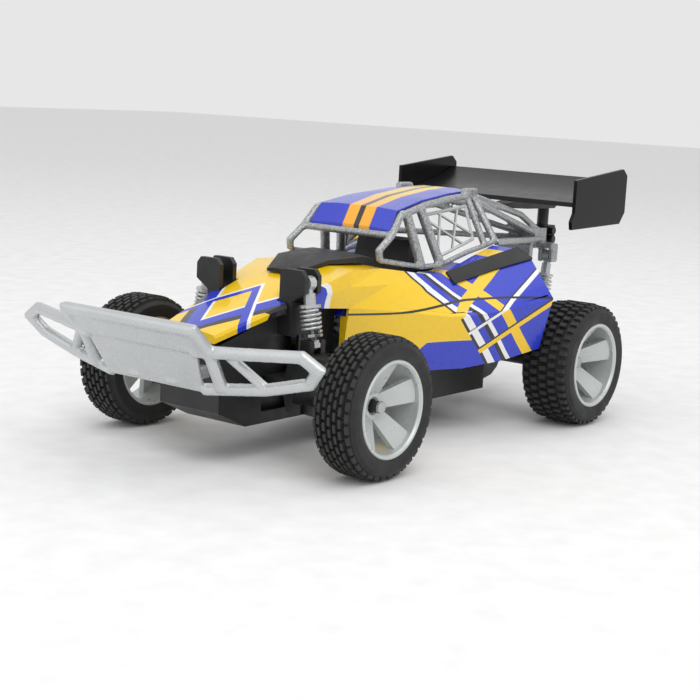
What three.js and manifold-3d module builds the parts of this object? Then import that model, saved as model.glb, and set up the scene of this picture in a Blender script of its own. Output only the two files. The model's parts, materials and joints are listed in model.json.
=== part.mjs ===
// A remote control desert buggy, in millimetres: +X is forward, +Y is its left, +Z is up.
// The origin is on the ground, midway between the two axles and on the centre plane.
// Handed pieces are modelled on the left; the right one is the same geometry mirrored in Y.
import * as THREE from "three";
import { mergeVertices } from "three/addons/utils/BufferGeometryUtils.js";
import Module from "manifold-3d";

const wasm = await Module();
wasm.setup();

// Driving dimensions.
const WHEELBASE = 195;
const WHEEL_RADIUS = 35;
const REACH = 187.8; // from the origin to the bumper's front, and to the wing bracket's rear
const FRONT_X = WHEELBASE / 2;
const REAR_X = -WHEELBASE / 2;
const WHEEL_FACE_Y = 91; // outer face of every rim
const FRONT_TYRE_WIDTH = 24.6;
const REAR_TYRE_WIDTH = 31;
const RIM_RADIUS = 24.2;
const AXLE_RADIUS = 3;
const AXLE_BORE_RADIUS = 3.4;
const GAP = 0.3; // left between pieces that touch
const SKIN = 1.8; // wall of the thin mouldings
const TUBE_RADIUS = 3.3; // bumper
const CAGE_RADIUS = 2.2; // roll cage
const PIN_RADIUS = 1.6; // arm hinges and damper eyes
const ARM_HINGE = { y: 16, z: 38 };
const KINGPIN_Y = 57;
const STEER_PIN_X = 80; // steering pins, 17.5 behind the kingpins
const REAR_PIVOT = { x: -68, z: 32 };
const GEAR_MODULE = 1.2;
const AXLE_GEAR_TEETH = 26;
const PINION_TEETH = 8;
const MOTOR_X = REAR_X - (GEAR_MODULE * (AXLE_GEAR_TEETH + PINION_TEETH)) / 2;

// ---------- geometry helpers ----------

const vec = (p) => new THREE.Vector3(...p);

function solid(geometry) {
  const bare = geometry.clone();
  for (const name of ["normal", "uv"]) bare.deleteAttribute(name);
  const merged = mergeVertices(bare, 1e-4);
  const mesh = new wasm.Mesh({
    numProp: 3,
    vertProperties: merged.attributes.position.array,
    triVerts: new Uint32Array(merged.index.array),
  });
  return new wasm.Manifold(mesh);
}

function surface(manifold) {
  const mesh = manifold.getMesh();
  const geometry = new THREE.BufferGeometry();
  geometry.setAttribute("position", new THREE.BufferAttribute(mesh.vertProperties, 3));
  geometry.setIndex(new THREE.BufferAttribute(mesh.triVerts, 1));
  geometry.computeVertexNormals();
  return geometry;
}

const join = (...parts) => parts.flat().reduce((all, part) => all.add(part));
const cut = (body, ...tools) => tools.flat().reduce((rest, tool) => rest.subtract(tool), body);

function block([x0, x1], [y0, y1], [z0, z1]) {
  const box = new THREE.BoxGeometry(x1 - x0, y1 - y0, z1 - z0);
  box.translate((x0 + x1) / 2, (y0 + y1) / 2, (z0 + z1) / 2);
  return solid(box);
}

// A round bar between two points.
function rod(from, to, radius, sides = 8) {
  const [a, b] = [vec(from), vec(to)];
  const bar = new THREE.CylinderGeometry(radius, radius, a.distanceTo(b), sides);
  const turn = new THREE.Quaternion().setFromUnitVectors(
    new THREE.Vector3(0, 1, 0),
    b.clone().sub(a).normalize(),
  );
  bar.applyQuaternion(turn);
  bar.translate(...a.add(b).multiplyScalar(0.5));
  return solid(bar);
}

const rodX = ([x0, x1], y, z, radius, sides = 12) => rod([x0, y, z], [x1, y, z], radius, sides);
const rodY = ([y0, y1], x, z, radius, sides = 12) => rod([x, y0, z], [x, y1, z], radius, sides);
const rodZ = ([z0, z1], x, y, radius, sides = 12) => rod([x, y, z0], [x, y, z1], radius, sides);

// A bar through a list of points, with mitred corners: each ring slides along its
// segment until it meets the plane that halves the corner.
function bentRod(points, radius, sides = 6) {
  const path = points.map(vec);
  const headings = path.slice(1).map((point, i) => point.clone().sub(path[i]).normalize());
  const across = Math.abs(headings[0].z) < 0.9 ? vec([0, 0, 1]) : vec([1, 0, 0]);
  const u = across.cross(headings[0]).normalize();
  const v = headings[0].clone().cross(u);
  let ring = Array.from({ length: sides }, (_, i) => {
    const angle = (2 * Math.PI * i) / sides;
    const offset = u.clone().multiplyScalar(radius * Math.cos(angle));
    return path[0].clone().add(offset).addScaledVector(v, radius * Math.sin(angle));
  });
  const rings = [ring];
  headings.forEach((heading, i) => {
    const normal = heading.clone().add(headings[i + 1] ?? heading).normalize();
    const corner = path[i + 1];
    ring = ring.map((point) => {
      const distance = corner.clone().sub(point).dot(normal) / heading.dot(normal);
      return point.clone().addScaledVector(heading, distance);
    });
    rings.push(ring);
  });
  return loft(rings.map((points3) => points3.map((point) => point.toArray())));
}

// A prism with an outline in two axes and straight sides along the third.
function prism(outline, along, [from, to]) {
  const shape = new THREE.Shape(outline.map(([a, b]) => new THREE.Vector2(a, b)));
  const geometry = new THREE.ExtrudeGeometry(shape, { depth: to - from, bevelEnabled: false });
  geometry.translate(0, 0, from);
  const [x, y, z] = [vec([1, 0, 0]), vec([0, 1, 0]), vec([0, 0, 1])];
  const frame = new THREE.Matrix4();
  if (along === "x") frame.makeBasis(y, z, x);
  if (along === "y") frame.makeBasis(x, z, y.negate());
  if (along === "y") geometry.translate(0, 0, -(from + to));
  geometry.applyMatrix4(frame);
  return solid(geometry);
}

// A closed skin over rings of equally many points.
function loft(rings) {
  const count = rings[0].length;
  const build = (flip) => {
    const index = [];
    const face = (a, b, c) => index.push(...(flip ? [a, c, b] : [a, b, c]));
    for (let i = 0; i < rings.length - 1; i++)
      for (let j = 0; j < count; j++) {
        const [a, b] = [i * count + j, i * count + ((j + 1) % count)];
        face(a, b, b + count);
        face(a, b + count, a + count);
      }
    const last = (rings.length - 1) * count;
    for (let j = 1; j < count - 1; j++) {
      face(0, j + 1, j);
      face(last, last + j, last + j + 1);
    }
    const geometry = new THREE.BufferGeometry();
    geometry.setAttribute("position", new THREE.Float32BufferAttribute(rings.flat(2), 3));
    geometry.setIndex(index);
    return solid(geometry);
  };
  const made = build(false);
  return made.volume() > 0 ? made : build(true);
}

// A turned piece about the Y axis, from a closed profile of [radius, y].
function turned(profile, segments = 20) {
  const points = [...profile, profile[0]].map(([r, y]) => new THREE.Vector2(r, y));
  const made = solid(new THREE.LatheGeometry(points, segments));
  if (made.volume() > 0) return made;
  points.reverse();
  return solid(new THREE.LatheGeometry(points, segments));
}

// ---------- materials and the assembly ----------

const finish = (color, roughness, metalness) =>
  new THREE.MeshStandardMaterial({ color, roughness, metalness });
const BLACK = finish(0x17181a, 0.5, 0);
const GLOSS_BLACK = finish(0x0b0b0c, 0.2, 0);
const RUBBER = finish(0x1b1c1d, 0.85, 0);
const SILVER = finish(0xc3c8ca, 0.35, 0.5);
const YELLOW = finish(0xf4c80c, 0.3, 0);
const BLUE = finish(0x1d33c8, 0.3, 0);
const STEEL = finish(0x9a9ea1, 0.3, 1);
const GREEN = finish(0x1e5a36, 0.5, 0);
const WHITE_NYLON = finish(0xe6e4dc, 0.5, 0);

const buggy = new THREE.Group();

function add(name, made, material, [x, y, z] = [0, 0, 0]) {
  const mesh = new THREE.Mesh(surface(made), material);
  mesh.name = name;
  mesh.position.set(x, y, z);
  buggy.add(mesh);
  return mesh;
}

function addPair(name, made, material, [x, y, z] = [0, 0, 0]) {
  add(`${name}_left`, made, material, [x, y, z]);
  add(`${name}_right`, made, material, [x, -y, z]).scale.y = -1;
}

// ---------- chassis ----------

const TUB = { front: 60, rear: -62, halfWidth: 38, floor: 18, rim: 42 };
const NOSE_HALF = 19.5;
const BATTERY_BAY = { x: [-34, 34], y: [-20, 20] };

function noseOutline(inset) {
  return [
    [56, TUB.floor + inset],
    [122, TUB.floor + inset],
    [142 - inset, 27 + inset],
    [142 - inset, inset ? 64 : 60],
    [110, inset ? 76 : 70],
    [56, inset ? 90 : 84],
  ];
}

// The tub narrows towards the front, inside the painted panels.
function tubPlan(inset) {
  const { front, rear, halfWidth } = TUB;
  const half = [
    [rear + inset, halfWidth - inset],
    [28, halfWidth - inset],
    [front - inset, 25 - inset],
  ];
  return [...half, ...half.map(([x, y]) => [x, -y]).reverse()];
}

function chassisTub() {
  const { rear, floor, rim } = TUB;
  const tub = prism(tubPlan(0), "z", [floor, rim]);
  const tubRoom = prism(tubPlan(SKIN), "z", [floor + SKIN, rim + 1]);
  const nose = prism(noseOutline(0), "y", [-NOSE_HALF, NOSE_HALF]);
  const noseRoom = prism(noseOutline(SKIN), "y", [SKIN - NOSE_HALF, NOSE_HALF - SKIN]);
  const armBays = [-1, 1].map((side) =>
    block([84, 111], side > 0 ? [11, 20] : [-20, -11], [24, 61]),
  );
  const bulkheads = block([82, 113], [-12.8, 12.8], [floor, 63]);
  const bulkheadRoom = block([81, 114], [-11, 11], [floor + SKIN, 64]);
  const armPins = [-1, 1].map((side) =>
    join(
      rodX([84.2, 113], side * ARM_HINGE.y, ARM_HINGE.z, PIN_RADIUS),
      block([84.2, 86.6], side > 0 ? [11, 19.5] : [-19.5, -11], [32, 44]),
      block([111, 114], side > 0 ? [11, 19.5] : [-19.5, -11], [32, 44]),
    ),
  );
  const linkSlots = block([73.5, 84.1], [-30, 30], [37.4, 47.5]);
  const rearFrame = join(
    block([rear - 0.5, rear + 3], [-20, 20], [floor + 6, 66]),
    block([-146, rear + 3], [-18, 18], [62, 66]),
  );
  const pivotEars = [
    [16.6, 20],
    [-12, -8.6],
  ].map((y) => block([REAR_PIVOT.x - 5, rear + 1], y, [25, 39]));
  const pivotPin = rodY([-12, 20], REAR_PIVOT.x, REAR_PIVOT.z, 1.8);
  const bay = block(BATTERY_BAY.x, BATTERY_BAY.y, [floor - 1, floor + SKIN + 1]);
  const switchSlot = block([-52, -44], [-4, 4], [floor - 1, floor + SKIN + 1]);
  const hollow = cut(join(tub, nose), tubRoom, noseRoom, armBays);
  const walls = cut(bulkheads, bulkheadRoom);
  const body = cut(join(hollow, walls), linkSlots, bay, switchSlot);
  return join(body, armPins, rearFrame, pivotEars, pivotPin);
}

// ---------- body mouldings ----------

// Half sections of the painted body: seam, shoulder, belt and crown, each [y, z], by x.
const BODY = [
  { x: 145, seam: [18, 61], shoulder: [18.2, 63.5], belt: [17.6, 65], crown: 66 },
  { x: 110, seam: [24, 71.5], shoulder: [24.4, 74], belt: [23.6, 75.5], crown: 77 },
  { x: 88, seam: [29.4, 75], shoulder: [30, 80], belt: [28.6, 83], crown: 84.5 },
  { x: 60, seam: [32, 73], shoulder: [32.6, 84], belt: [31.6, 92], crown: 93 },
  { x: 34, seam: [42, 70.5], shoulder: [37, 84], belt: [31.5, 92], crown: 92.5 },
  { x: 0, seam: [55.5, 66.5], shoulder: [42, 81], belt: [36, 87.5], crown: 87.5 },
  { x: -15, seam: [61, 67], shoulder: [44.5, 81.5], belt: [38.5, 87.5], crown: 87.5 },
  { x: -40, seam: [71, 70], shoulder: [55, 89], belt: [47, 94.5], crown: 94.5 },
  { x: -62, seam: [80, 75], shoulder: [64.5, 94.5], belt: [54, 100], crown: 100 },
];
// The lower panel's foot, [y, z], by x.
const FOOT = [
  { x: 60, seam: [32, 73], foot: [28, 38] },
  { x: 34, seam: [42, 70.5], foot: [38.6, 37] },
  { x: 0, seam: [55.5, 66.5], foot: [48, 37] },
  { x: -15, seam: [61, 67], foot: [54, 37] },
  { x: -40, seam: [71, 70], foot: [63, 40] },
  { x: -62, seam: [80, 75], foot: [73, 46] },
];

const mirrored = (half) => [...half, ...half.map(([y, z]) => [-y, z]).reverse()];
const ringAt = (x, half) => mirrored(half).map(([y, z]) => [x, y, z]);

function upperBody(inset) {
  return loft(
    BODY.map(({ x, seam, shoulder, belt, crown }, i) => {
      const end = i === 0 ? -inset : i === BODY.length - 1 ? inset : 0;
      return ringAt(x + end, [
        [seam[0] - inset, seam[1] - 2.5 * inset],
        [shoulder[0] - inset, shoulder[1] - 0.4 * inset],
        [belt[0] - inset, belt[1] - inset],
        [belt[0] * 0.5, (inset ? 0 : 0.3) + crown - inset],
      ]);
    }),
  );
}

function lowerBody(inset) {
  return loft(
    FOOT.map(({ x, seam, foot }, i) => {
      const end = i === 0 ? -inset : i === FOOT.length - 1 ? inset : 0;
      return ringAt(x + end, [
        [foot[0] - inset, foot[1] - 2 * inset],
        [seam[0] - inset, seam[1] + 0.2 + inset],
      ]);
    }),
  );
}

function bodyShell() {
  const outer = join(upperBody(0), lowerBody(0));
  const hollow = cut(outer, upperBody(SKIN), lowerBody(SKIN));
  const cockpit = block([-70, 30], [-29, 29], [30, 110]);
  const rearWay = block([-70, -30], [-38, 38], [30, 110]);
  const towers = [-1, 1].map((side) =>
    block([87.6, 102.4], side > 0 ? [19, 40] : [-40, -19], [50, 110]),
  );
  const noseWay = block([55, 61], [-26.5, 26.5], [36, 74]);
  const cowlSeat = block([24, 34], [-21.5, 21.5], [80, 110]);
  return cut(hollow, cockpit, rearWay, towers, noseWay, cowlSeat);
}

// The black strip between the cage rail and the painted side.
function rearDeck() {
  const stations = BODY.filter(({ x }) => x <= -15);
  return loft(
    stations.map(({ x, shoulder, belt }) => {
      const along = [shoulder[0] - belt[0], shoulder[1] - belt[1]];
      const size = Math.hypot(...along);
      const out = [-along[1] / size, along[0] / size];
      const at = ([y, z], lift) => [x, y + out[0] * lift, z + out[1] * lift];
      return [at(belt, GAP), at(shoulder, GAP), at(shoulder, 1.5), at(belt, 1.5)];
    }),
  );
}

function dashCowl() {
  const rings = [
    { x: 78, half: 9, foot: 88.8, top: 90.8 },
    { x: 60, half: 17, foot: 93.9, top: 97.2 },
    { x: 36, half: 21, foot: 93.9, top: 98.6 },
    { x: 27, half: 21, foot: 93.9, top: 96.6 },
  ];
  return loft(
    rings.map(({ x, half, foot, top }) =>
      ringAt(x, [
        [half, foot],
        [half, foot + 0.7 * (top - foot)],
        [half * 0.62, top],
      ]),
    ),
  );
}

function cockpitTub() {
  const tub = cut(
    block([-57, 23.5], [-27.5, 27.5], [70, 84]),
    block([-55, 21.5], [-25.5, 25.5], [72, 90]),
  );
  const seat = prism(
    [
      [-20, 71],
      [6, 71],
      [6, 78],
      [-4, 80],
      [-10, 103],
      [-17, 104],
    ],
    "y",
    [-18, 18],
  );
  return join(tub, seat);
}

// ---------- roll cage and roof ----------

const ROOF = [
  { x: 24, half: 30, z: 110 },
  { x: 15, half: 28.5, z: 120 },
  { x: -10, half: 26, z: 124.6 },
  { x: -40, half: 23.2, z: 127.6 },
  { x: -64, half: 21.6, z: 128.6 },
];

function roofPanel() {
  const inset = 2.6;
  return loft(
    ROOF.map(({ x, half, z }, i) => {
      const trim = i === 0 ? -2.2 : i === ROOF.length - 1 ? 3 : 0;
      return ringAt(x + trim, [
        [half - inset, z - 0.3],
        [half - inset, z + 1],
        [half * 0.5, z + 1.8],
      ]);
    }),
  );
}

const CAGE_FEET = { a: [34, 30.4, 96], b: [0, 33, 91], c: [-57, 36, 100] };

function cageFrame() {
  const rail = [
    CAGE_FEET.a,
    [18, 31, 93.6],
    CAGE_FEET.b,
    [-16, 34.6, 91.2],
    [-40, 35.6, 97.2],
    CAGE_FEET.c,
    [-64, 38, 102.6],
  ];
  const edge = ROOF.map(({ x, half, z }) => [x, half, z - 1.6]);
  const side = (s) =>
    [
      bentRod(rail, 1.7, 6),
      bentRod(edge, CAGE_RADIUS, 6),
      bentRod([CAGE_FEET.a, [35, 30.2, 101], edge[0]], CAGE_RADIUS, 6),
      bentRod([CAGE_FEET.b, [9, 28, 119]], 3, 6),
      bentRod([[-16, 34.6, 91.2], [-5, 27, 121]], 3, 6),
      bentRod([CAGE_FEET.c, [-55, 24.5, 124]], CAGE_RADIUS, 6),
      bentRod([[-64, 38, 102.6], [-62, 23, 126]], 2.4, 6),
      block([-64, -52], [20.6, 25], [125, 131.4]),
    ].map((piece) => (s > 0 ? piece : piece.scale([1, -1, 1])));
  const crossBars = [0, 4].map((i) => {
    const { x, half, z } = ROOF[i];
    return rod([x, -half, z - 1.6], [x, half, z - 1.6], CAGE_RADIUS, 6);
  });
  return join(side(1), side(-1), crossBars);
}

// Diamond mesh in the rear side window, leaning with it.
function windowNet() {
  const [low, high] = [94.5, 119];
  const leanAt = (z) => 33.4 - ((z - low) / (high - low)) * 7.2;
  const inner = (x, z) => [x, leanAt(z), z];
  const frame = bentRod(
    [
      [-18, 96],
      [-11.5, 118],
      [-50.5, 121.5],
      [-52.5, 103.5],
      [-18, 96],
    ].map(([x, z]) => inner(x, z)),
    1,
    4,
  );
  const strands = [
    [[-12.5, 114.5], [-42, 101]],
    [[-22, 118.8], [-52.2, 106]],
    [[-17, 100], [-25, 119]],
    [[-30, 98.6], [-42, 120.6]],
  ];
  return join(frame, strands.map(([a, b]) => rod(inner(...a), inner(...b), 0.8, 4)));
}

// ---------- wing and its rear frame ----------

const WING = { lead: -114, trail: -165, half: 61, plateTop: 144, plateFoot: 111 };
const POST_X = -180;
const REAR_DAMPER_Y = 11.5;
const FORK_Y = [
  [6.2, 8.9],
  [14.1, 16.6],
];

function rearBrace() {
  const tubes = [
    [[-67.4, 21, 126], [-138, 9, 112.5], [-169, 5, 100]],
    [[-67.8, 22.6, 122.5], [-168, 6, 98]],
    [[-68, 36.5, 101.5], [-168, 7, 96]],
  ];
  const left = tubes.map((points) => bentRod(points, CAGE_RADIUS, 6));
  const right = left.map((tube) => tube.scale([1, -1, 1]));
  const hub = block([-173, -165], [-8, 8], [92, 103]);
  const foot = block([-173, -147], [-5, 5], [90, 94]);
  const leg = block([-151, -146.4], [-12, 12], [62.5, 94]);
  const forks = [-1, 1].map((side) =>
    join(
      forkPlates([-174, -166], [82, 93], side),
      rodY(side > 0 ? [7, 16] : [-16, -7], -170, 86, PIN_RADIUS),
    ),
  );
  const crossPiece = block([-173.2, -165], [-16.6, 16.6], [91, 94]);
  return join(left, right, hub, foot, leg, forks, crossPiece);
}

function wingBracket() {
  const clamp = block([-187.8, -173.4], [-5, 5], [92, 104]);
  const bolts = [95.5, 101].map((z) => rodY([-9, 9], POST_X, z, 2.6, 8));
  const post = rodZ([103, 118], POST_X, 0, 3.6, 10);
  const beam = prism(
    [
      [-112, 117.5],
      [-150, 115.5],
      [-184, 115],
      [-REACH, 118],
      [-REACH + 1, 121],
      [-160, 122.6],
    ],
    "y",
    [-6, 6],
  );
  return join(clamp, bolts, post, beam);
}

function wingBlade() {
  const { lead, trail, half } = WING;
  const outline = [
    [lead, 122],
    [lead - 1, 124.6],
    [-130, 127.4],
    [-148, 131.4],
    [trail + 2, 137.4],
    [trail, 137],
    [trail + 1.6, 133.6],
    [-148, 128.4],
    [-130, 124.4],
  ];
  return prism(outline, "y", [-half, half]);
}

function endPlate() {
  const { plateTop: top, plateFoot: foot, half } = WING;
  const outline = [
    [-108, top - 6],
    [-164, top],
    [-169, top - 4],
    [-169, foot + 7],
    [-163, foot],
    [-106, foot - 1.6],
    [-105, foot + 3],
    [-108, foot + 8],
  ];
  return prism(outline, "y", [half + GAP, half + 2.5]);
}

// ---------- front bumper ----------

function frontBumper() {
  const top = REACH - TUBE_RADIUS;
  const hoop = bentRod(
    [
      [163.5, -41, 45],
      [173, -41, 63],
      [top, -41, 74],
      [top, 41, 74],
      [173, 41, 63],
      [163.5, 41, 45],
    ],
    TUBE_RADIUS,
  );
  const loop = (s) =>
    bentRod(
      [
        [176, s * 33, 63],
        [167, s * 62, 64.5],
        [162.5, s * 86, 66.5],
        [160.5, s * 94.2, 61.5],
        [157, s * 87, 54],
        [158, s * 62, 47.5],
        [163.5, s * 30, 43.5],
      ],
      TUBE_RADIUS,
    );
  const brace = (s) => rod([169, s * 47, 63.5], [158, s * 63, 48], 2.6);
  const upperPlate = prism(
    [
      [top - 1, 75.5],
      [top + 1.2, 74.5],
      [177.4, 62],
      [175.2, 62.6],
    ],
    "y",
    [-39, 39],
  );
  const lowerPlate = loft(
    [
      { x: 177.4, half: 36, z: 64 },
      { x: 165.6, half: 30.6, z: 42 },
    ].map(({ x, half, z }) => [
      [x, half, z],
      [x, -half, z],
      [x - 2.4, -half, z + 0.8],
      [x - 2.4, half, z + 0.8],
    ]),
  );
  const stays = [-1, 1].map((s) =>
    block([142.4, 168], s > 0 ? [9, 15] : [-15, -9], [44, 50]),
  );
  return join(hoop, loop(1), loop(-1), brace(1), brace(-1), upperPlate, lowerPlate, stays);
}

// ---------- front suspension and steering ----------

function frontTower() {
  const profile = [
    [20, 62],
    [28, 62],
    [28, 79],
    [36, 84],
    [36, 92],
    [33.5, 95],
    [22.5, 95],
    [20, 92],
  ];
  const upright = prism(profile, "x", [88.6, 101.4]);
  const channel = block([91.4, 98.6], [19, 40], [77, 100]);
  const pin = rodX([91, 99], 33, 88.5, PIN_RADIUS);
  return join(cut(upright, channel), pin);
}

function frontArm() {
  const profile = [
    [13.4, 36],
    [18, 34.4],
    [31, 33],
    [33, 26],
    [62, 25],
    [62.4, 29.6],
    [37, 31],
    [36, 49.6],
    [62, 50],
    [62, 54],
    [33, 54],
    [31.6, 42],
    [18, 41.8],
    [13.4, 40.6],
  ];
  const beam = prism(profile, "x", [87, 108]);
  const waist = [
    block([80, 90], [42, 70], [20, 60]),
    block([105, 115], [42, 70], [20, 60]),
  ];
  const ears = [
    [89, 92.4],
    [97.6, 101],
  ].map((x) => block(x, [34.4, 40.6], [53, 61]));
  const ballPin = rodX([90, 100], 37.5, 58.5, PIN_RADIUS);
  const hingeBore = rodX([86, 109], ARM_HINGE.y, ARM_HINGE.z, PIN_RADIUS + GAP);
  const kingpinBores = rodZ([20, 60], FRONT_X, KINGPIN_Y, 2 + GAP);
  return join(cut(beam, waist, hingeBore, kingpinBores), ears, ballPin);
}

function knuckle() {
  const body = block([92.5, 102.5], [52.5, 61.5], [32, 48.4]);
  const kingpin = rodZ([25.2, 53.8], FRONT_X, KINGPIN_Y, 2);
  const stub = rodY([61, 81.6], FRONT_X, WHEEL_RADIUS, AXLE_RADIUS);
  const thread = rodY([76, 82], FRONT_X, WHEEL_RADIUS, 1.3 + GAP, 8);
  const arm = block([77, 94], [54.6, 59.4], [36.6, 39.8]);
  const pin = rodZ([39, 45.4], STEER_PIN_X, KINGPIN_Y, 1.5, 8);
  return join(cut(join(body, stub), thread), kingpin, arm, pin);
}

function steeringLink() {
  const [inner, outer] = [16, KINGPIN_Y];
  const height = [42.2, 44.4];
  const bar = block([78.6, 81.4], [inner, outer], height);
  const innerEye = rodZ(height, STEER_PIN_X, inner, 3.6, 8);
  const outerEye = join(
    rodZ(height, STEER_PIN_X, outer, 3.8, 8),
    rodZ(height, STEER_PIN_X + 1.3, outer, 3.8, 8),
  );
  const innerHole = rodZ([41, 46], STEER_PIN_X, inner, 2.6);
  const outerHole = join(
    rodZ([41, 46], STEER_PIN_X, outer, 2.1),
    rodZ([41, 46], STEER_PIN_X + 1.3, outer, 2.1),
    block([STEER_PIN_X, STEER_PIN_X + 1.3], [outer - 2, outer + 2], [41, 46]),
  );
  return cut(join(bar, innerEye, outerEye), innerHole, outerHole);
}

function steeringRack() {
  const bar = block([77.4, 82.6], [-18.6, 18.6], [38, 40.4]);
  const plate = block([74.6, 82.6], [-5, 5], [38, 40.4]);
  const slot = block([75.8, 81.4], [-1.9, 1.9], [37, 41]);
  const pins = [-16, 16].map((y) => rodZ([40, 46], STEER_PIN_X, y, 1.5, 8));
  return join(cut(join(bar, plate), slot), pins);
}

function steeringHorn() {
  const turnX = STEER_PIN_X - 17.5;
  const arm = block([turnX, STEER_PIN_X - 0.5], [-2.6, 2.6], [34.6, 37.4]);
  const boss = rodZ([33, 37.4], turnX, 0, 4);
  const pin = rodZ([36, 41.2], STEER_PIN_X - 0.5, 0, 1.4);
  return join(arm, boss, pin);
}

function steeringMotor() {
  const gearHead = block([50, 72], [-9, 9], [20.2, 32.6]);
  const can = rodY([-17, -8.6], 61, 26.4, 5.6, 10);
  return join(gearHead, can);
}

// A damper's upper half hangs from `top` and its lower half slides towards `foot`.
function damper(top, foot, thick) {
  const [a, b] = [vec(top), vec(foot)];
  const length = a.distanceTo(b);
  const eyeAxis = thick.axis === "x" ? [1, 0, 0] : [0, 1, 0];
  const towards = (t) => a.clone().lerp(b, t / length).toArray();
  const eye = (at, radius) =>
    rod(
      at.map((c, i) => c - (eyeAxis[i] * thick.width) / 2),
      at.map((c, i) => c + (eyeAxis[i] * thick.width) / 2),
      radius,
      10,
    );
  const bodyEnd = length * 0.58;
  const seat = length * 0.4;
  const upper = cut(
    join(
      eye(top, 3.7),
      rod(towards(2.4), towards(6), 2.2),
      rod(towards(5), towards(bodyEnd), 3),
      rod(towards(seat - 1.5), towards(seat), 5.3, 10),
    ),
    eye(top, PIN_RADIUS + GAP * 1.4),
    rod(towards(seat - 4), towards(bodyEnd + 1), 1.9, 6),
  );
  const lower = cut(
    join(
      eye(foot, 3.2),
      rod(towards(length * 0.56), towards(length - 4.5), 1.3, 6),
      rod(towards(length - 5.4), towards(length - 4), 5.3, 10),
      rod(towards(length - 5), towards(length - 2.4), 2.2, 6),
    ),
    eye(foot, PIN_RADIUS + GAP * 1.4),
  );
  const spring = cut(
    rod(towards(seat + GAP), towards(length - 5.4 - GAP), 5.1, 10),
    rod(towards(seat - 1), towards(length - 4), 3.6, 10),
  );
  return { upper, lower, spring };
}

// ---------- rear axle ----------

// A spur gear about the Y axis, with a tooth or a space pointing along +X or -X.
function spurGear(teeth, [y0, y1], phase) {
  const pitchRadius = (GEAR_MODULE * teeth) / 2;
  const [tip, root] = [pitchRadius + 0.85, pitchRadius - 1.3];
  const pitchAngle = (2 * Math.PI) / teeth;
  const outline = [];
  for (let i = 0; i < teeth; i++)
    for (const [radius, share] of [
      [root, -0.25],
      [tip, -0.1],
      [tip, 0.1],
      [root, 0.25],
    ]) {
      const angle = phase + (i + share) * pitchAngle;
      outline.push([radius * Math.cos(angle), radius * Math.sin(angle)]);
    }
  return prism(outline, "y", [y0, y1]);
}

const GEAR_Y = [4, 10];
const CASE_Y = [-8, 16];

function axleGear() {
  const gear = spurGear(AXLE_GEAR_TEETH, GEAR_Y, 0);
  return cut(gear, rodY([0, 14], 0, 0, AXLE_RADIUS + GAP));
}

function motorPinion() {
  const half = Math.PI / PINION_TEETH;
  return cut(spurGear(PINION_TEETH, GEAR_Y, half), rodY([0, 14], 0, 0, 1 + GAP, 8));
}

// Two plates on either side of a damper's eye.
function forkPlates(x, z, side) {
  return join(FORK_Y.map(([y0, y1]) => block(x, side > 0 ? [y0, y1] : [-y1, -y0], z)));
}

function gearboxCase() {
  const drum = (radius, y) => rodY(y, REAR_X, WHEEL_RADIUS, radius, 16);
  const tail = (radius, y) => rodY(y, MOTOR_X, WHEEL_RADIUS, radius, 12);
  const outer = join(
    drum(19, CASE_Y),
    tail(9, CASE_Y),
    block([MOTOR_X, REAR_X], CASE_Y, [26, 44]),
    block([-82, REAR_PIVOT.x - 3], CASE_Y, [27, 37]),
    rodY(CASE_Y, REAR_PIVOT.x, REAR_PIVOT.z, 4),
  );
  const inner = [1.6, 12].map((y, i) => (i ? y + 2 : y));
  const room = join(
    drum(17.2, inner),
    tail(7, inner),
    block([MOTOR_X, REAR_X], inner, [29, 41]),
  );
  const tubes = [
    [15, 55],
    [-55, -7],
  ].map((y) => rodY(y, REAR_X, WHEEL_RADIUS, 6.5, 14));
  const arms = [-1, 1].map((side) =>
    join(
      forkPlates([-168.5, -130], [46, 56], side),
      rodY(side > 0 ? [7, 16] : [-16, -7], -165, 54, PIN_RADIUS),
    ),
  );
  const bridge = join(
    block([-134, -130], [-16.6, 16.6], [38, 56]),
    block([-131, -125], [0, 16], [36, 44]),
  );
  return join(
    cut(
      join(outer, tubes),
      room,
      drum(AXLE_BORE_RADIUS + 0.3, [-60, 60]),
      rodY([-10, 2], MOTOR_X, WHEEL_RADIUS, 2),
      rodY([-9, 17], REAR_PIVOT.x, REAR_PIVOT.z, 1.8 + GAP),
    ),
    arms,
    bridge,
  );
}

function driveMotor() {
  const can = rodY([-36, CASE_Y[0] - GAP - 0.1], MOTOR_X, WHEEL_RADIUS, 11, 16);
  const shaft = rodY([-12, 11], MOTOR_X, WHEEL_RADIUS, 1, 8);
  const boss = rodY([-40, -35], MOTOR_X, WHEEL_RADIUS, 4, 10);
  return join(can, shaft, boss);
}

function rearAxle() {
  const shaft = rodY([-77.6, 77.6], REAR_X, WHEEL_RADIUS, AXLE_RADIUS);
  const threads = [-1, 1].map((s) =>
    rodY(s > 0 ? [72, 78] : [-78, -72], REAR_X, WHEEL_RADIUS, 1.3 + GAP, 8),
  );
  return cut(shaft, threads);
}

// ---------- wheels, about their own centres with +Y outwards ----------

function tyre(width) {
  const half = width / 2;
  const [bead, wall] = [RIM_RADIUS + 0.4, 3.6];
  return turned([
    [bead, -half + 1],
    [bead + 4, -half],
    [WHEEL_RADIUS - 2.6, -half + 0.4],
    [WHEEL_RADIUS, -half + 3.4],
    [WHEEL_RADIUS, half - 3.4],
    [WHEEL_RADIUS - 2.6, half - 0.4],
    [bead + 4, half],
    [bead, half - 1],
    [bead, half - wall],
    [WHEEL_RADIUS - 4, half - wall],
    [WHEEL_RADIUS - 4, wall - half],
    [bead, wall - half],
  ]);
}

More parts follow.
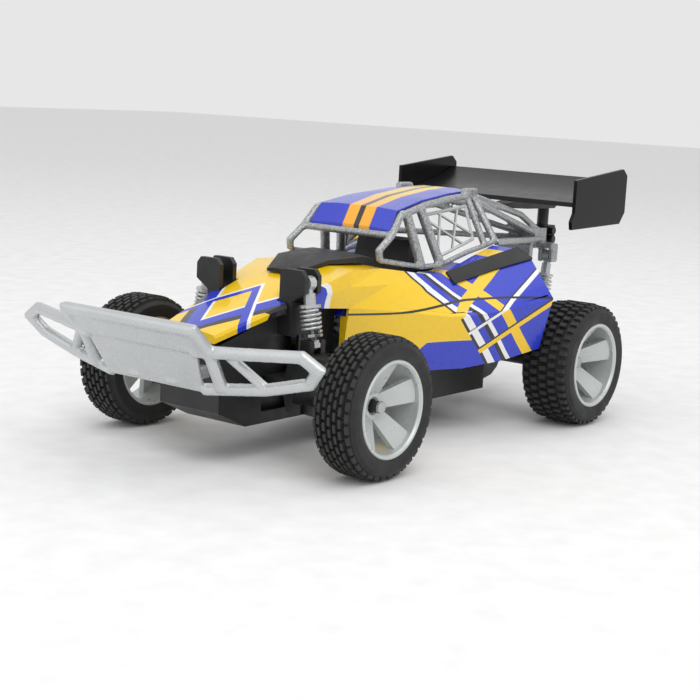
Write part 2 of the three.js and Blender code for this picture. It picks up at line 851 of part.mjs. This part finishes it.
function rim(width, dish) {
  const half = width / 2;
  const [bore, face] = [RIM_RADIUS - 2.4, half - dish];
  const barrel = turned([
    [bore, -half + 1.6],
    [RIM_RADIUS, -half + 1.6],
    [RIM_RADIUS, half - 0.2],
    [bore + 0.4, half - 0.2],
    [bore - 0.6, half - 3],
    [bore, half - 6],
  ]);
  const hub = turned([
    [AXLE_BORE_RADIUS, face - 13],
    [6.2, face - 13],
    [7, face],
    [AXLE_BORE_RADIUS, face],
  ], 12);
  const spokes = [0, 1, 2, 3, 4].map((i) => {
    const beam = prism(
      [
        [4.6, face - 3.4],
        [4.6, face],
        [bore + 0.8, half - 2],
        [bore + 0.8, half - 6.4],
      ],
      "z",
      [-3.6, 3.6],
    );
    return solid(surface(beam).rotateY(-Math.PI / 2 + (i * 2 * Math.PI) / 5));
  });
  const passage = turned([
    [0, face - 14],
    [AXLE_BORE_RADIUS, face - 14],
    [AXLE_BORE_RADIUS, face + 1],
    [0, face + 1],
  ], 12);
  return cut(join(barrel, hub, spokes), passage);
}

function wheelScrew() {
  const head = rodY([-0.2, 1.6], 0, 0, 3.1, 12);
  return join(head, rodY([-5.6, 0], 0, 0, 1.3, 8));
}

// ---------- electrics ----------

function batteryDoor() {
  const [x, y] = [BATTERY_BAY.x, BATTERY_BAY.y];
  const leaf = block([x[0] + 0.6, x[1] - 0.6], [y[0] + 0.6, y[1] - 0.6], [18.1, 19.8]);
  return join(leaf, block([-4, 4], [16, 19.4], [16.6, 18.5]));
}

function powerSwitch() {
  return join(block([-50.4, -45.6], [-1.8, 1.6], [16.6, 20.6]), block([-53, -43], [-5, 1.8], [20.2, 22]));
}

// ---------- assembly ----------

add("chassis_tub", chassisTub(), BLACK);
add("body_shell", bodyShell(), YELLOW);
addPair("rear_deck", rearDeck(), BLACK);
add("dash_cowl", dashCowl(), BLACK);
add("cockpit_tub", cockpitTub(), BLACK);
add("roof_panel", roofPanel(), BLUE);
add("cage_frame", cageFrame(), SILVER);
addPair("window_net", windowNet(), SILVER);
add("rear_brace", rearBrace(), SILVER);
add("wing_bracket", wingBracket(), BLACK);
add("wing_blade", wingBlade(), GLOSS_BLACK);
addPair("wing_end_plate", endPlate(), BLACK);
add("front_bumper", frontBumper(), SILVER);

addPair("front_tower", frontTower(), BLACK);
addPair("front_arm", frontArm(), BLACK);
addPair("knuckle", knuckle(), BLACK);
addPair("steering_link", steeringLink(), BLACK);
add("steering_rack", steeringRack(), WHITE_NYLON);
add("steering_horn", steeringHorn(), WHITE_NYLON);
add("steering_motor", steeringMotor(), BLACK);

const frontDamper = damper([95, 33, 88.5], [95, 37.5, 58.5], { axis: "x", width: 4.6 });
addPair("front_damper", frontDamper.upper, SILVER);
addPair("front_damper_rod", frontDamper.lower, STEEL);
addPair("front_spring", frontDamper.spring, SILVER);
const rearDamper = damper([-170, REAR_DAMPER_Y, 86], [-165, REAR_DAMPER_Y, 54], { axis: "y", width: 4.6 });
addPair("rear_damper", rearDamper.upper, SILVER);
addPair("rear_damper_rod", rearDamper.lower, STEEL);
addPair("rear_spring", rearDamper.spring, SILVER);

add("gearbox_case", gearboxCase(), BLACK);
add("drive_motor", driveMotor(), STEEL);
add("rear_axle", rearAxle(), STEEL);
add("axle_gear", axleGear(), WHITE_NYLON, [REAR_X, 0, WHEEL_RADIUS]);
add("motor_pinion", motorPinion(), STEEL, [MOTOR_X, 0, WHEEL_RADIUS]);

for (const [end, x, width, dish] of [
  ["front", FRONT_X, FRONT_TYRE_WIDTH, 7],
  ["rear", REAR_X, REAR_TYRE_WIDTH, 11],
]) {
  const centre = WHEEL_FACE_Y - width / 2;
  addPair(`${end}_tyre`, tyre(width), RUBBER, [x, centre, WHEEL_RADIUS]);
  addPair(`${end}_rim`, rim(width, dish), SILVER, [x, centre, WHEEL_RADIUS]);
  const seat = WHEEL_FACE_Y - dish - 2;
  addPair(`${end}_wheel_screw`, wheelScrew(), STEEL, [x, seat, WHEEL_RADIUS]);
}

add("battery_pack", block([-32, 32], [-18, 18], [21, 39]), GREEN);
add("battery_door", batteryDoor(), BLACK);
add("circuit_board", block([-50, 40], [-30, 30], [44, 45.6]), GREEN);
add("power_switch", powerSwitch(), BLACK);

export default buggy;
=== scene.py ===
import json
import math

import bpy
import bmesh
from mathutils import Matrix, Vector


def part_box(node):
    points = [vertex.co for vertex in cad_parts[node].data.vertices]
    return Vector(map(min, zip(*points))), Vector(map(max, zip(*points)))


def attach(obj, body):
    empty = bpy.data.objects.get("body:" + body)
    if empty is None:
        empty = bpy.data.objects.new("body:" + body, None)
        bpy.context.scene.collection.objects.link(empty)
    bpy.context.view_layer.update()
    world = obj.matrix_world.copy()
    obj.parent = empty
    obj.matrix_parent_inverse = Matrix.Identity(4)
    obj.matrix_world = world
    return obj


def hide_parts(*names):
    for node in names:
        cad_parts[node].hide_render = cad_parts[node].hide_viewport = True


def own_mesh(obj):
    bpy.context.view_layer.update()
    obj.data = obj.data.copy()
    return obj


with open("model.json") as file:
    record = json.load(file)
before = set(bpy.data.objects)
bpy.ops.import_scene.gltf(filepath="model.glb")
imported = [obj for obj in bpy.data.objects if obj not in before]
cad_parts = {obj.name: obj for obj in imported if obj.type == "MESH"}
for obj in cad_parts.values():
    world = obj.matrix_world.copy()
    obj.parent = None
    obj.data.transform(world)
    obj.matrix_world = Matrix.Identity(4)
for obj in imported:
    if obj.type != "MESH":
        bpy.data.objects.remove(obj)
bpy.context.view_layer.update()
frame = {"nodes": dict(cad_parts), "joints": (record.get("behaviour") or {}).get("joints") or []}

MM = 0.001
SIDES = (("left", 1), ("right", -1))

# ---------- colours ----------
YELLOW = (0.9, 0.58, 0.006, 1)
ORANGE = (0.9, 0.38, 0.008, 1)
BLUE = (0.015, 0.035, 0.52, 1)
WHITE = (0.85, 0.85, 0.85, 1)
INK = (0.008, 0.008, 0.012, 1)
SILVER = (0.6, 0.62, 0.63, 1)

# ---------- printed bands: all in mm, from the car's own X, Y and Z ----------
# The side's bands lie along x + slope * z. Blue starts behind COLOR_SPLIT.
SHARD_SLOPE = -0.9
SLASH_SLOPE = 1.5
COLOR_SPLIT = -64
# Bands as start, stop and colour.
SIDE_SHARDS = ((-66, -64, INK), (-71, -66, WHITE), (-82, -79, WHITE), (-79, -76, INK), (-98, -91, YELLOW))
SIDE_SLASHES = ((44, 49, YELLOW), (49, 51, INK), (70, 73, WHITE), (73, 74, INK), (92, 99, YELLOW))
# A blue patch low on the side: its top, and its slanted front end.
PATCH_TOP = 53
PATCH_SLOPE, PATCH_END = 1.2, 76
# Bands of the hood print, ahead of HOOD_START: slope towards the side, start, stop and colour.
HOOD_START = 70
HOOD_STAR = (
    (1.9, 150, 158, INK),
    (1.9, 136, 150, BLUE),
    (1.9, 133, 136, WHITE),
    (-1.6, 92, 99, BLUE),
    (-1.6, 89, 92, WHITE),
)
# A thin wavy line along the side, between two heights, behind SEAM_END.
SEAM_LOW, SEAM_HIGH = 72.0, 73.1
SEAM_SLOPE, SEAM_END = 0.055, 60
WAVE_HEIGHT, WAVE_TURN = 1.2, 0.06
# The roof's stripe, the dark line down its middle, and the length over which it fades.
ROOF_SKEW = -0.1
ROOF_STRIPE = (-7, 11)
ROOF_LINE = (0.5, 4)
FADE_START, FADE_LENGTH = 25, 50

# ---------- camera: place and angles ----------
CAMERA_PLACE = Vector((674.1, 503.4, 182.6)) * MM
CAMERA_AZIMUTH = math.radians(37.4)
CAMERA_ELEVATION = math.radians(9.6)
CAMERA_ROLL = math.radians(3.01)
CAMERA_LENS = 78.96


def make_camera():
    flat = math.cos(CAMERA_ELEVATION)
    ahead, beside = flat * math.cos(CAMERA_AZIMUTH), flat * math.sin(CAMERA_AZIMUTH)
    back = Vector((ahead, beside, math.sin(CAMERA_ELEVATION)))
    across = Vector((0, 0, 1)).cross(back).normalized()
    up = back.cross(across)
    c, s = math.cos(CAMERA_ROLL), math.sin(CAMERA_ROLL)
    right, top = across * c + up * s, up * c - across * s
    camera = bpy.data.objects.new("camera", bpy.data.cameras.new("camera"))
    camera.data.lens = CAMERA_LENS
    camera.data.dof.use_dof = False
    camera.matrix_world = Matrix.Translation(CAMERA_PLACE) @ Matrix((right, top, back)).transposed().to_4x4()
    bpy.context.collection.objects.link(camera)
    bpy.context.scene.camera = camera


# ---------- shader helpers ----------
EDGE_LEVEL, EDGE_GAIN = 0.53, 12  # pointiness where wear starts, and how fast it grows


class Graph:
    """A material's nodes, with short calls for the ones used here."""

    def __init__(self, name):
        self.material = bpy.data.materials.new(name)
        self.material.use_nodes = True
        self.nodes = self.material.node_tree.nodes
        self.shader = self.nodes["Principled BSDF"]
        place = self.nodes.new("ShaderNodeTexCoord")
        split = self.nodes.new("ShaderNodeSeparateXYZ")
        self.place = place.outputs["Object"]
        self.link(self.place, split.inputs[0])
        self.x, self.y, self.z = (self.math("MULTIPLY", out, 1000) for out in split.outputs)

    def link(self, out, into):
        self.material.node_tree.links.new(out, into)

    def put(self, value, into):
        if isinstance(value, bpy.types.NodeSocket):
            self.link(value, into)
        else:
            into.default_value = value

    def math(self, operation, a, b=0.0):
        node = self.nodes.new("ShaderNodeMath")
        node.operation = operation
        self.put(a, node.inputs[0])
        self.put(b, node.inputs[1])
        return node.outputs[0]

    def noise(self, scale, detail=4.0):
        node = self.nodes.new("ShaderNodeTexNoise")
        self.link(self.place, node.inputs["Vector"])
        node.inputs["Scale"].default_value = scale
        node.inputs["Detail"].default_value = detail
        return node.outputs["Fac"]

    def ramp(self, value, low, high):
        node = self.nodes.new("ShaderNodeMapRange")
        self.link(value, node.inputs["Value"])
        node.inputs["From Min"].default_value = 0.3
        node.inputs["From Max"].default_value = 0.7
        node.inputs["To Min"].default_value = low
        node.inputs["To Max"].default_value = high
        return node.outputs["Result"]

    def mix(self, factor, a, b):
        node = self.nodes.new("ShaderNodeMix")
        node.data_type = "RGBA"
        self.put(factor, node.inputs["Factor"])
        self.put(a, node.inputs[6])
        self.put(b, node.inputs[7])
        return node.outputs[2]

    def bump(self, height, strength, distance):
        node = self.nodes.new("ShaderNodeBump")
        node.inputs["Strength"].default_value = strength
        node.inputs["Distance"].default_value = distance
        self.link(height, node.inputs["Height"])
        self.link(node.outputs["Normal"], self.shader.inputs["Normal"])

    def edge_wear(self):
        """About 1 on sharp outward edges and 0 elsewhere."""
        node = self.nodes.new("ShaderNodeNewGeometry")
        sharp = self.math("SUBTRACT", node.outputs["Pointiness"], EDGE_LEVEL)
        return self.math("MINIMUM", self.math("MAXIMUM", self.math("MULTIPLY", sharp, EDGE_GAIN), 0), 1)

    def band(self, value, low, high):
        above = self.math("GREATER_THAN", value, low)
        return self.math("MULTIPLY", above, self.math("LESS_THAN", value, high))

    def slant(self, value, slope, other):
        return self.math("ADD", value, self.math("MULTIPLY", other, slope))


def tone(color, share):
    return tuple(c * share for c in color[:3]) + (1,)


def moulded(name, color, rough, grain=900.0, depth=0.12, metal=0.0, worn=None, speckle=0.0, gleam=0.5):
    """Moulded plastic, rubber or metal: mottled colour, uneven gloss and a fine grain."""
    g = Graph(name)
    mottled = g.noise(60)
    shade = g.mix(mottled, tone(color, 0.82), color)
    if speckle:
        shade = g.mix(g.ramp(g.noise(1100, 1.0), speckle, 0.0), shade, tone(color, 0.35))
    if worn:
        shade = g.mix(g.edge_wear(), shade, worn)
    g.link(shade, g.shader.inputs["Base Color"])
    g.link(g.ramp(g.noise(140), rough * 0.85, rough * 1.2), g.shader.inputs["Roughness"])
    g.shader.inputs["Metallic"].default_value = metal
    g.shader.inputs["Specular IOR Level"].default_value = gleam
    g.bump(g.noise(grain), depth, 0.0003)
    return g.material


def gloss_print(g, shade):
    """A printed, lacquered sheet with fine ink specks over the given shade."""
    g.link(g.mix(g.ramp(g.noise(300), 0.0, 0.035), shade, INK), g.shader.inputs["Base Color"])
    g.link(g.ramp(g.noise(90), 0.2, 0.32), g.shader.inputs["Roughness"])
    g.shader.inputs["Coat Weight"].default_value = 0.5
    g.shader.inputs["Coat Roughness"].default_value = 0.08
    g.bump(g.noise(500), 0.03, 0.0002)
    return g.material


def body_print():
    """Yellow front and blue rear, with slanted shards of white, ink and blue between."""
    g = Graph("body_print")
    side = g.math("ABSOLUTE", g.y)
    lean = g.slant(g.x, SHARD_SLOPE, g.z)
    steep = g.slant(g.x, SLASH_SLOPE, g.z)
    shade = g.mix(g.math("LESS_THAN", lean, COLOR_SPLIT), YELLOW, BLUE)
    low = g.math("LESS_THAN", g.z, PATCH_TOP)
    behind = g.math("LESS_THAN", g.slant(g.x, PATCH_SLOPE, g.z), PATCH_END)
    shade = g.mix(g.math("MULTIPLY", low, behind), shade, BLUE)
    for start, stop, color in SIDE_SHARDS:
        shade = g.mix(g.band(lean, start, stop), shade, color)
    for start, stop, color in SIDE_SLASHES:
        mark = g.math("MULTIPLY", g.band(steep, start, stop), g.math("LESS_THAN", lean, COLOR_SPLIT))
        shade = g.mix(mark, shade, color)
    hood = g.math("GREATER_THAN", g.x, HOOD_START)
    for slope, start, stop, color in HOOD_STAR:
        mark = g.math("MULTIPLY", g.band(g.slant(g.x, slope, side), start, stop), hood)
        shade = g.mix(mark, shade, color)
    swell = g.math("MULTIPLY", g.math("SINE", g.math("MULTIPLY", g.x, WAVE_TURN)), WAVE_HEIGHT)
    seam = g.band(g.math("ADD", g.slant(g.z, SEAM_SLOPE, g.x), swell), SEAM_LOW, SEAM_HIGH)
    shade = g.mix(g.math("MULTIPLY", seam, g.math("LESS_THAN", g.x, SEAM_END)), shade, INK)
    return gloss_print(g, shade)


def roof_print():
    """Blue, with two lengthwise stripes that fade from yellow to orange."""
    g = Graph("roof_print")
    side = g.slant(g.y, ROOF_SKEW, g.x)
    along = g.math("DIVIDE", g.math("ADD", g.x, FADE_START), FADE_LENGTH)
    fade = g.math("MINIMUM", g.math("MAXIMUM", along, 0), 1)
    stripe = g.mix(fade, YELLOW, ORANGE)
    shade = g.mix(g.band(side, *ROOF_STRIPE), BLUE, stripe)
    shade = g.mix(g.band(side, *ROOF_LINE), shade, INK)
    return gloss_print(g, shade)


def make_materials():
    return {
        "black": moulded("black_plastic", (0.007, 0.0075, 0.008, 1), 0.45, worn=(0.03, 0.03, 0.03, 1)),
        "wing": moulded("wing_gloss", (0.004, 0.004, 0.005, 1), 0.22, 300.0, 0.02, gleam=0.22),
        "rubber": moulded("rubber", (0.007, 0.007, 0.008, 1), 0.6, 1500.0, 0.3, worn=(0.022, 0.022, 0.021, 1)),
        "silver": moulded("silver_plastic", SILVER, 0.27, 1300.0, 0.04, 0.6),
        "speckled": moulded("speckled_silver", (0.56, 0.58, 0.59, 1), 0.34, 1600.0, 0.4, 0.5, speckle=0.9),
        "rim": moulded("rim_silver", (0.6, 0.63, 0.62, 1), 0.3, 800.0, 0.05, 0.35),
        "steel": moulded("steel", (0.5, 0.51, 0.52, 1), 0.25, 600.0, 0.1, 1.0),
        "green": moulded("green_board", (0.03, 0.16, 0.07, 1), 0.5),
        "nylon": moulded("white_nylon", (0.75, 0.74, 0.7, 1), 0.5),
        "body": body_print(),
        "roof": roof_print(),
        "floor": moulded("floor", (0.9, 0.9, 0.9, 1), 0.8, 30.0, 0.01),
    }


# ---------- mesh helpers ----------
def middle(node):
    low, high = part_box(node)
    return (Vector(low) + Vector(high)) / 2


def finish_mesh(name, bm, material, smooth_angle=40):
    bmesh.ops.recalc_face_normals(bm, faces=bm.faces)
    mesh = bpy.data.meshes.new(name)
    bm.to_mesh(mesh)
    bm.free()
    mesh.materials.append(material)
    made = bpy.data.objects.new(name, mesh)
    bpy.context.collection.objects.link(made)
    mesh.shade_smooth()
    mesh.set_sharp_from_angle(angle=math.radians(smooth_angle))
    return made


def bevel(made, width, segments=2):
    mod = made.modifiers.new("bevel", "BEVEL")
    mod.width = width
    mod.segments = segments
    mod.limit_method = "ANGLE"
    mod.angle_limit = math.radians(35)
    mod.harden_normals = True


def lathe(bm, profile, center, steps):
    """Turns a closed profile of (radius, y) about the Y axis through center."""
    rings = []
    for i in range(steps):
        a = 2 * math.pi * i / steps
        ring = [center + Vector((r * math.cos(a), y, r * math.sin(a))) for r, y in profile]
        rings.append([bm.verts.new(spot) for spot in ring])
    for i in range(steps):
        here, there = rings[i], rings[(i + 1) % steps]
        for j in range(len(profile)):
            k = (j + 1) % len(profile)
            bm.faces.new((here[j], here[k], there[k], there[j]))


def slab(bm, corners, push):
    """A block over a quad, pushed by one vector per corner."""
    low = [bm.verts.new(c) for c in corners]
    high = [bm.verts.new(c + p) for c, p in zip(corners, push)]
    bm.faces.new(low)
    bm.faces.new(high[::-1])
    for i in range(4):
        j = (i + 1) % 4
        bm.faces.new((low[i], low[j], high[j], high[i]))


# ---------- wheels ----------
ROUND_STEPS = 96
LUG_HEIGHT = 2.2 * MM
LUG_TAPER = 0.8
SHOULDER = 1.5 * MM  # bare strip at each side of the tread
SHOULDER_DROP = 0.9 * MM
TYRE_WALL = 3.4 * MM
# Lugs around, rows across, and a lug's half size as a share of its pitch around and across.
TREAD = {"front": (38, 7, 0.43, 0.3), "rear": (44, 5, 0.3, 0.4)}
RIM_WALL = 2.2 * MM
SPOKES = 5
SPOKE_ROOT, SPOKE_TIP = 4.0 * MM, 6.6 * MM  # half widths
SPOKE_ROOT_DEPTH, SPOKE_TIP_DEPTH = 3 * MM, 4 * MM


def lug(bm, center, radius, angle, turn, y0, y1):
    """A tread block that tapers outwards, between two heights across the tyre."""
    def at(r, a, y):
        return center + Vector((r * math.cos(a), y, r * math.sin(a)))
    base = radius - LUG_HEIGHT
    spots = ((-turn, y0), (turn, y0), (turn, y1), (-turn, y1))
    center_y = (y0 + y1) / 2
    low = [at(base, angle + a, y) for a, y in spots]
    high = [at(radius, angle + LUG_TAPER * a, center_y + 0.86 * (y - center_y)) for a, y in spots]
    slab(bm, low, [h - l for h, l in zip(high, low)])


def make_tyre(end, side, material):
    node = f"{end}_tyre_{side}"
    low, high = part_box(node)
    center = middle(node)
    radius, half = (high[2] - low[2]) / 2, (high[1] - low[1]) / 2
    rim = middle(f"{end}_rim_{side}")
    inner = (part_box(f"{end}_rim_{side}")[1][2] - rim.z) - 0.2 * MM
    base = radius - LUG_HEIGHT
    profile = [(inner, -half + TYRE_WALL * 0.3), (inner + TYRE_WALL, -half)]
    profile += [(base - 2.4 * MM, -half + 0.2 * MM), (base - 0.6 * MM, -half + 1.6 * MM)]
    profile += [(base, -half + 3.6 * MM)]
    profile += [(r, -y) for r, y in reversed(profile)]
    bm = bmesh.new()
    lathe(bm, profile, center, ROUND_STEPS)
    count, rows, turn_share, reach_share = TREAD[end]
    width = 2 * (half - SHOULDER) / rows
    reach = width * reach_share
    turn = turn_share * 2 * math.pi / count
    for i in range(count):
        for row in range(rows):
            angle = 2 * math.pi * (i + 0.5 * (row % 2)) / count
            mid = -half + SHOULDER + (row + 0.5) * width
            drop = SHOULDER_DROP if row in (0, rows - 1) else 0
            lug(bm, center, radius - drop, angle, turn, mid - reach, mid + reach)
    made = finish_mesh(f"{end}_tread_{side}", bm, material, 30)
    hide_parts(node)
    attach(made, f"front_wheel_{side}" if end == "front" else "rear_axle")


def make_rim(end, side, hand, material):
    node = f"{end}_rim_{side}"
    low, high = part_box(node)
    center = middle(node)
    outer, half = (high[2] - low[2]) / 2, (high[1] - low[1]) / 2
    screw = middle(f"{end}_wheel_screw_{side}")
    face = abs(screw.y - center.y) - 1.5 * MM
    bore = outer - RIM_WALL
    bm = bmesh.new()
    barrel = [(bore, -half), (outer, -half), (outer, half - 1.2 * MM), (outer - 0.5 * MM, half - 0.2 * MM)]
    barrel += [(outer - 1.6 * MM, half - 0.1 * MM), (bore - 0.4 * MM, half - 1.4 * MM), (bore, half - 4 * MM)]
    lathe(bm, [(r, hand * y) for r, y in barrel], center, ROUND_STEPS)
    hub = [(3.3 * MM, face - 11 * MM), (6.4 * MM, face - 11 * MM), (7.2 * MM, face - 1 * MM)]
    hub += [(6.6 * MM, face), (4.4 * MM, face), (3.9 * MM, face - 0.8 * MM), (3.3 * MM, face - 1 * MM)]
    lathe(bm, [(r, hand * y) for r, y in hub], center, ROUND_STEPS // 2)
    rise = Vector((0, hand, 0))
    near, far = 5.6 * MM, bore + 0.7 * MM
    root, tip = rise * -SPOKE_ROOT_DEPTH, rise * -SPOKE_TIP_DEPTH
    for i in range(SPOKES):
        angle = math.radians(90 + 360 / SPOKES * i)
        out = Vector((math.cos(angle), 0, math.sin(angle)))
        across = Vector((-math.sin(angle), 0, math.cos(angle)))
        inmost = center + out * near + rise * (face - 0.2 * MM)
        outmost = center + out * far + rise * (half - 3.2 * MM)
        quad = [inmost - across * SPOKE_ROOT, inmost + across * SPOKE_ROOT]
        quad += [outmost + across * SPOKE_TIP, outmost - across * SPOKE_TIP]
        slab(bm, quad, [root, root, tip, tip])
    made = finish_mesh(f"{end}_wheel_{side}", bm, material)
    bevel(made, 0.5 * MM)
    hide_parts(node)
    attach(made, f"front_wheel_{side}" if end == "front" else "rear_axle")


# ---------- springs ----------
COIL_RADIUS = 4.6 * MM
SLEEVE_RADIUS = 5.1 * MM  # of the plain solid that a coil stands in for
WIRE_RADIUS = 0.75 * MM
COIL_TURNS, TURN_STEPS, WIRE_SIDES = 5, 20, 8
# How much of its length a spring keeps at the end of its damper's travel.
SPRING_KEEP = {"front": 0.75, "rear": 0.54}


def make_spring(end, side, material):
    node = f"{end}_spring_{side}"
    joint = f"{end}_damper_slide_{side}"
    axis = Vector(next(j["axis"] for j in frame["joints"] if j["name"] == joint)).normalized()
    low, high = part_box(node)
    lean = math.sqrt(1 - axis.z ** 2)
    length = ((high[2] - low[2]) - 2 * SLEEVE_RADIUS * lean) / axis.z
    across = axis.cross(Vector((1, 0, 0)) if abs(axis.x) < 0.5 else Vector((0, 1, 0))).normalized()
    along = axis.cross(across)
    foot = middle(node) - axis * (length / 2 - WIRE_RADIUS)
    steps = COIL_TURNS * TURN_STEPS
    angles = [2 * math.pi * k / WIRE_SIDES for k in range(WIRE_SIDES)]
    bm = bmesh.new()
    rings = []
    for i in range(steps + 1):
        a = 2 * math.pi * i / TURN_STEPS
        outwards = across * math.cos(a) + along * math.sin(a)
        spot = foot + axis * ((length - 2 * WIRE_RADIUS) * i / steps) + outwards * COIL_RADIUS
        around = [outwards * math.cos(t) + axis * math.sin(t) for t in angles]
        rings.append([bm.verts.new(spot + way * WIRE_RADIUS) for way in around])
    for here, there in zip(rings, rings[1:]):
        for k in range(WIRE_SIDES):
            j = (k + 1) % WIRE_SIDES
            bm.faces.new((here[k], here[j], there[j], there[k]))
    bm.faces.new(rings[0][::-1])
    bm.faces.new(rings[-1])
    made = finish_mesh(node + "_coil", bm, material, 60)
    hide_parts(node)
    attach(made, f"{end}_damper_{side}")
    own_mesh(made)


# ---------- CAD nodes that stay ----------
TUBES = ("cage_frame", "rear_brace", "front_bumper")
VOXEL = 0.7 * MM
SHARP_ANGLE = 24
EDGE_BEVEL, TOWER_BEVEL = 0.35 * MM, 1.1 * MM


def round_tubes(made):
    """Turns faceted, joined bars into one moulded piece with soft corners."""
    remesh = made.modifiers.new("remesh", "REMESH")
    remesh.mode = "VOXEL"
    remesh.voxel_size = VOXEL
    remesh.use_smooth_shade = True
    soften = made.modifiers.new("soften", "SMOOTH")
    soften.factor = 0.5
    soften.iterations = 7


def shade_by_angle(made, degrees):
    """Smooth shading with edges sharp over an angle, as a modifier: the CAD mesh stays as it is."""
    tree = bpy.data.node_groups.new(f"{made.name}_shading", "GeometryNodeTree")
    tree.interface.new_socket("Geometry", in_out="INPUT", socket_type="NodeSocketGeometry")
    tree.interface.new_socket("Geometry", in_out="OUTPUT", socket_type="NodeSocketGeometry")
    start, end = tree.nodes.new("NodeGroupInput"), tree.nodes.new("NodeGroupOutput")
    weld = tree.nodes.new("GeometryNodeMergeByDistance")
    weld.inputs["Distance"].default_value = 0.01 * MM
    faces, edges = (tree.nodes.new("GeometryNodeSetShadeSmooth") for _ in range(2))
    edges.domain = "EDGE"
    edges.inputs["Shade Smooth"].default_value = False
    angle = tree.nodes.new("GeometryNodeInputMeshEdgeAngle")
    over = tree.nodes.new("FunctionNodeCompare")
    over.operation = "GREATER_THAN"
    over.inputs[1].default_value = math.radians(degrees)
    tree.links.new(angle.outputs["Unsigned Angle"], over.inputs[0])
    tree.links.new(over.outputs[0], edges.inputs["Selection"])
    tree.links.new(start.outputs[0], weld.inputs["Geometry"])
    tree.links.new(weld.outputs[0], faces.inputs["Geometry"])
    tree.links.new(faces.outputs[0], edges.inputs["Geometry"])
    tree.links.new(edges.outputs[0], end.inputs[0])
    made.modifiers.new("shading", "NODES").node_group = tree


def look(name, materials):
    if name == "body_shell":
        return materials["body"]
    if name == "roof_panel":
        return materials["roof"]
    if "net" in name:
        return materials["rim"]
    if name in ("cage_frame", "rear_brace"):
        return materials["speckled"]
    if name == "front_bumper" or ("damper" in name and "rod" not in name):
        return materials["silver"]
    if name == "wing_blade" or "end_plate" in name:
        return materials["wing"]
    if "screw" in name or "rod" in name or name in ("rear_axle", "drive_motor", "motor_pinion"):
        return materials["steel"]
    if name in ("battery_pack", "circuit_board"):
        return materials["green"]
    if name in ("steering_rack", "steering_horn", "axle_gear"):
        return materials["nylon"]
    return materials["black"]


def dress_nodes(materials):
    for name, made in frame["nodes"].items():
        made.data.materials.clear()
        made.data.materials.append(look(name, materials))
        if name in TUBES:
            round_tubes(made)
        else:
            shade_by_angle(made, SHARP_ANGLE)
            bevel(made, TOWER_BEVEL if "tower" in name else EDGE_BEVEL)


# ---------- floor and light ----------
FLOOR_HALF = 6
# Area lamps: name, place in metres, power in watts and width in metres.
LAMPS = (
    ("key", (0.7, 0.9, 1.3), 9, 1.2),
    ("fill", (1.2, -0.6, 0.8), 2.5, 1.4),
    ("top", (-0.3, 0.1, 1.5), 5, 1.6),
)


def make_stage(material):
    bm = bmesh.new()
    bmesh.ops.create_grid(bm, x_segments=1, y_segments=1, size=FLOOR_HALF)
    floor = finish_mesh("floor", bm, material)
    for name, place, power, size in LAMPS:
        lamp = bpy.data.lights.new(name, "AREA")
        lamp.energy = power
        lamp.size = size
        made = bpy.data.objects.new(name, lamp)
        made.location = place
        made.rotation_euler = (-Vector(place)).to_track_quat("-Z", "Y").to_euler()
        bpy.context.collection.objects.link(made)
    world = bpy.data.worlds.new("world")
    world.use_nodes = True
    background = world.node_tree.nodes["Background"].inputs
    background["Color"].default_value = (1, 1, 1, 1)
    background["Strength"].default_value = 0.8
    bpy.context.scene.world = world
    bpy.context.scene.view_settings.view_transform = "Standard"


# ---------- the model ----------
make_camera()
MATERIALS = make_materials()
dress_nodes(MATERIALS)
for side, hand in SIDES:
    for end in ("front", "rear"):
        make_tyre(end, side, MATERIALS["rubber"])
        make_rim(end, side, hand, MATERIALS["rim"])
    for end, keep in SPRING_KEEP.items():
        make_spring(end, side, MATERIALS["silver"])
make_stage(MATERIALS["floor"])
